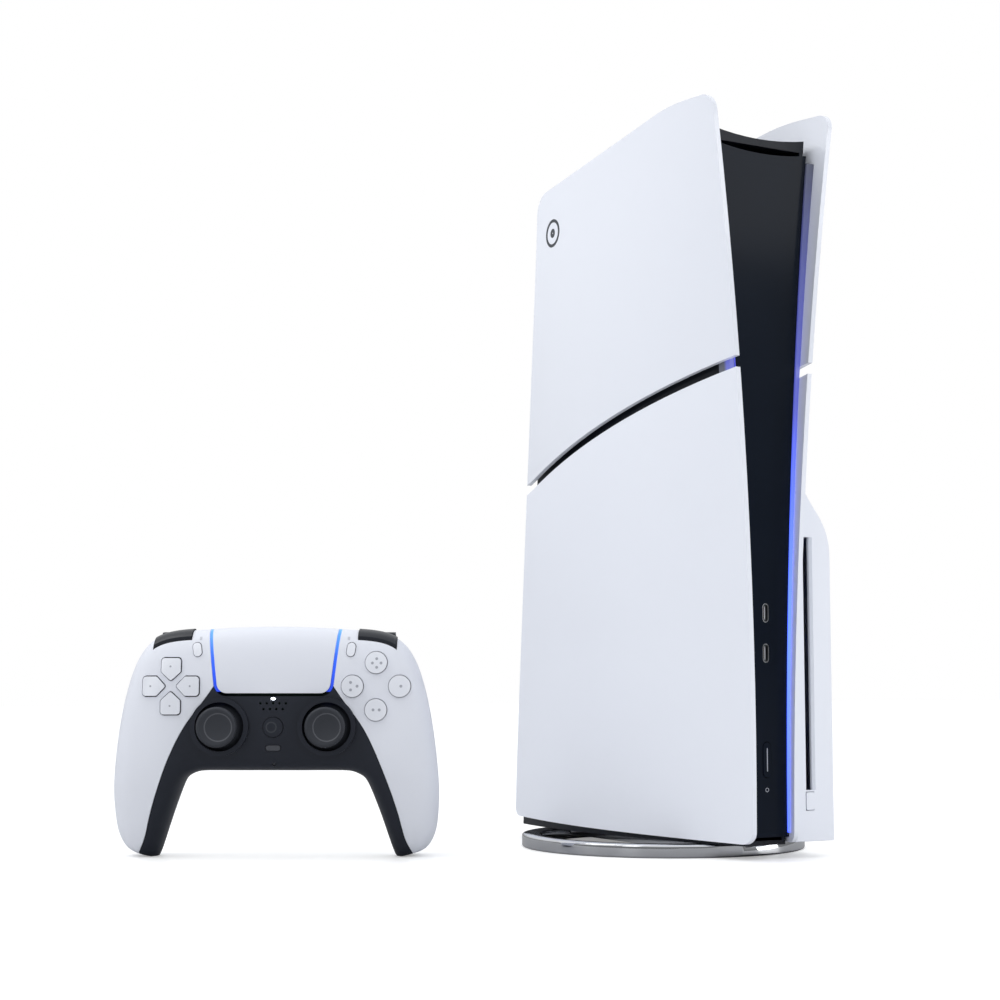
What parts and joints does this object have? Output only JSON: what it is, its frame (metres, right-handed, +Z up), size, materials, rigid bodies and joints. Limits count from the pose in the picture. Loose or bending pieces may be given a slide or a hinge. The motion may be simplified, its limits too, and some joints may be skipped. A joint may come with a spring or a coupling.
{
  "type": "game console with controller",
  "caption": "Tall game console with curved white side panels, a dark core and a disc drive, standing on a round stand with a wireless controller beside it.",
  "frame": {"origin": "centre of the stand's ring on the surface it stands on", "axes": "+Z up, -Y out of the console's front, +X to the disc drive's side"},
  "size_m": [0.3492, 0.1997, 0.3755],
  "materials": {
    "white_matte": "fine satin grain",
    "white_gloss": "glossy",
    "black_gloss": "glossy",
    "black_matte": "satin",
    "black_trim": "satin",
    "chrome": "polished",
    "blue_light": "lit, diffusing",
    "steel": "stamped",
    "aluminium": "milled",
    "board_green": "solder mask",
    "black_rubber": "fine grain",
    "battery_wrap": "film wrap",
    "key_clear": "clear over white",
    "screw_steel": "black zinc"
  },
  "bodies": {
    "console": {"stand_ring": "chrome", "stand_bridge": "chrome", "stand_screw": "screw_steel", "casing_left": "black_matte", "casing_right": "black_matte", "front_strip": "black_gloss", "front_ports": "steel", "light_guides": "blue_light", "drive_tray": "black_matte", "drive_lid": "steel", "fan_frame": "black_matte", "heat_sink": "aluminium", "main_board": "board_green", "power_supply": "black_matte", "rear_plate": "black_matte", "rear_sockets": "steel", "power_inlet": "black_matte", "rear_screws": "screw_steel"},
    "power_button": {"power_button": "black_gloss"},
    "panel_left_upper": {"panel_left_upper": "white_gloss"},
    "panel_left_lower": {"panel_left_lower": "white_matte"},
    "panel_right_upper": {"panel_right_upper": "white_gloss"},
    "drive_cover": {"drive_cover": "white_matte"},
    "eject_button": {"eject_button": "white_matte"},
    "fan_rotor": {"fan_rotor": "black_matte"},
    "drive_spindle": {"drive_spindle": "black_matte"},
    "drive_roller": {"drive_roller": "black_rubber"},
    "controller": {"shell_front": "white_matte", "shell_back": "white_matte", "trim_plate": "black_trim", "light_bars": "blue_light", "stick_bases": "black_matte", "battery": "battery_wrap", "circuit_board": "board_green", "haptic_motors": "steel", "charge_port": "steel", "headset_jack": "black_matte", "shell_screws": "screw_steel", "mid_frame": "black_matte"},
    "touchpad": {"touchpad": "white_matte"},
    "dpad": {"dpad": "key_clear"},
    "dpad_pivot": {"dpad_pivot": "black_matte"},
    "key_north": {"key_north": "key_clear"},
    "key_east": {"key_east": "key_clear"},
    "key_south": {"key_south": "key_clear"},
    "key_west": {"key_west": "key_clear"},
    "key_create": {"key_create": "key_clear"},
    "key_options": {"key_options": "key_clear"},
    "key_home": {"key_home": "black_trim"},
    "key_mute": {"key_mute": "black_trim"},
    "bumper_left": {"bumper_left": "black_trim"},
    "bumper_right": {"bumper_right": "black_trim"},
    "trigger_left": {"trigger_left": "black_trim"},
    "trigger_right": {"trigger_right": "black_trim"},
    "stick_left_yoke": {"stick_left_yoke": "black_matte"},
    "stick_left_rocker": {"stick_left_rocker": "black_matte"},
    "stick_left_cap": {"stick_left_cap": "black_rubber"},
    "stick_right_yoke": {"stick_right_yoke": "black_matte"},
    "stick_right_rocker": {"stick_right_rocker": "black_matte"},
    "stick_right_cap": {"stick_right_cap": "black_rubber"}
  },
  "joints": [
    {"name": "power_press", "type": "slide", "parent": "console", "child": "power_button", "axis": [0, 1, 0], "range_m": [0, 0.0008], "stiffness_N_per_m": 400},
    {"name": "panel_left_upper_off", "type": "slide", "parent": "console", "child": "panel_left_upper", "axis": [-1, 0, 0], "range_m": [0, 0.03]},
    {"name": "panel_left_lower_off", "type": "slide", "parent": "console", "child": "panel_left_lower", "axis": [-1, 0, 0], "range_m": [0, 0.03]},
    {"name": "panel_right_upper_off", "type": "slide", "parent": "console", "child": "panel_right_upper", "axis": [1, 0, 0], "range_m": [0, 0.03]},
    {"name": "drive_cover_off", "type": "slide", "parent": "console", "child": "drive_cover", "axis": [1, 0, 0], "range_m": [0, 0.03]},
    {"name": "eject_press", "type": "slide", "parent": "drive_cover", "child": "eject_button", "axis": [0, 1, 0], "range_m": [0, 0.001], "stiffness_N_per_m": 400},
    {"name": "fan_spin", "type": "hinge", "parent": "console", "child": "fan_rotor", "pos_m": [0, -0.02, 0.27], "axis": [1, 0, 0], "continuous": true},
    {"name": "spindle_spin", "type": "hinge", "parent": "console", "child": "drive_spindle", "pos_m": [0.022, -0.027, 0.0952], "axis": [1, 0, 0], "continuous": true},
    {"name": "roller_spin", "type": "hinge", "parent": "console", "child": "drive_roller", "pos_m": [0.0206, -0.0782, 0.0952], "axis": [0, 0, 1], "continuous": true},
    {"name": "controller_lift", "type": "slide", "parent": "console", "child": "controller", "axis": [0, 0, 1], "range_m": [0, 0.12]},
    {"name": "touchpad_click", "type": "hinge", "parent": "controller", "child": "touchpad", "pos_m": [-0.20376, 0.03644, 0.1123], "axis": [0.8763, -0.4818, 0], "range_deg": [0, 0.7], "stiffness_Nm_per_rad": 5},
    {"name": "stick_left_tilt_x", "type": "hinge", "parent": "controller", "child": "stick_left_yoke", "pos_m": [-0.2288, 0.04507, 0.064], "axis": [0.8763, -0.4818, 0], "range_deg": [-18, 18], "stiffness_Nm_per_rad": 0.05},
    {"name": "stick_left_tilt_z", "type": "hinge", "parent": "stick_left_yoke", "child": "stick_left_rocker", "pos_m": [-0.2288, 0.04507, 0.064], "axis": [0, 0, 1], "range_deg": [-18, 18], "stiffness_Nm_per_rad": 0.05},
    {"name": "stick_left_click", "type": "slide", "parent": "stick_left_rocker", "child": "stick_left_cap", "axis": [0.4818, 0.8763, 0], "range_m": [0, 0.0005], "stiffness_N_per_m": 800},
    {"name": "trigger_left_pull", "type": "hinge", "parent": "controller", "child": "trigger_left", "pos_m": [-0.24302, 0.06487, 0.098], "axis": [-0.8763, 0.4818, 0], "range_deg": [0, 18], "stiffness_Nm_per_rad": 0.15},
    {"name": "bumper_left_press", "type": "slide", "parent": "controller", "child": "bumper_left", "axis": [0, 0, -1], "range_m": [0, 0.0009], "stiffness_N_per_m": 900},
    {"name": "stick_right_tilt_x", "type": "hinge", "parent": "controller", "child": "stick_right_yoke", "pos_m": [-0.18305, 0.01992, 0.064], "axis": [0.8763, -0.4818, 0], "range_deg": [-18, 18], "stiffness_Nm_per_rad": 0.05},
    {"name": "stick_right_tilt_z", "type": "hinge", "parent": "stick_right_yoke", "child": "stick_right_rocker", "pos_m": [-0.18305, 0.01992, 0.064], "axis": [0, 0, 1], "range_deg": [-18, 18], "stiffness_Nm_per_rad": 0.05},
    {"name": "stick_right_click", "type": "slide", "parent": "stick_right_rocker", "child": "stick_right_cap", "axis": [0.4818, 0.8763, 0], "range_m": [0, 0.0005], "stiffness_N_per_m": 800},
    {"name": "trigger_right_pull", "type": "hinge", "parent": "controller", "child": "trigger_right", "pos_m": [-0.15872, 0.01852, 0.098], "axis": [-0.8763, 0.4818, 0], "range_deg": [0, 18], "stiffness_Nm_per_rad": 0.15},
    {"name": "bumper_right_press", "type": "slide", "parent": "controller", "child": "bumper_right", "axis": [0, 0, -1], "range_m": [0, 0.0009], "stiffness_N_per_m": 900},
    {"name": "dpad_rock_x", "type": "hinge", "parent": "controller", "child": "dpad_pivot", "pos_m": [-0.25234, 0.05185, 0.0837], "axis": [0.8763, -0.4818, 0], "range_deg": [-2.4, 2.4], "stiffness_Nm_per_rad": 0.15},
    {"name": "dpad_rock_z", "type": "hinge", "parent": "dpad_pivot", "child": "dpad", "pos_m": [-0.25234, 0.05185, 0.0837], "axis": [0, 0, 1], "range_deg": [-2.4, 2.4], "stiffness_Nm_per_rad": 0.15},
    {"name": "key_north_press", "type": "slide", "parent": "controller", "child": "key_north", "axis": [0.4818, 0.8763, 0], "range_m": [0, 0.0012], "stiffness_N_per_m": 450},
    {"name": "key_east_press", "type": "slide", "parent": "controller", "child": "key_east", "axis": [0.4818, 0.8763, 0], "range_m": [0, 0.0012], "stiffness_N_per_m": 450},
    {"name": "key_south_press", "type": "slide", "parent": "controller", "child": "key_south", "axis": [0.4818, 0.8763, 0], "range_m": [0, 0.0012], "stiffness_N_per_m": 450},
    {"name": "key_west_press", "type": "slide", "parent": "controller", "child": "key_west", "axis": [0.4818, 0.8763, 0], "range_m": [0, 0.0012], "stiffness_N_per_m": 450},
    {"name": "key_create_press", "type": "slide", "parent": "controller", "child": "key_create", "axis": [0.4818, 0.8763, 0], "range_m": [0, 0.0006], "stiffness_N_per_m": 500},
    {"name": "key_options_press", "type": "slide", "parent": "controller", "child": "key_options", "axis": [0.4818, 0.8763, 0], "range_m": [0, 0.0006], "stiffness_N_per_m": 500},
    {"name": "key_home_press", "type": "slide", "parent": "controller", "child": "key_home", "axis": [0.4818, 0.8763, 0], "range_m": [0, 0.0006], "stiffness_N_per_m": 500},
    {"name": "key_mute_press", "type": "slide", "parent": "controller", "child": "key_mute", "axis": [0.4818, 0.8763, 0], "range_m": [0, 0.0005], "stiffness_N_per_m": 500}
  ]
}
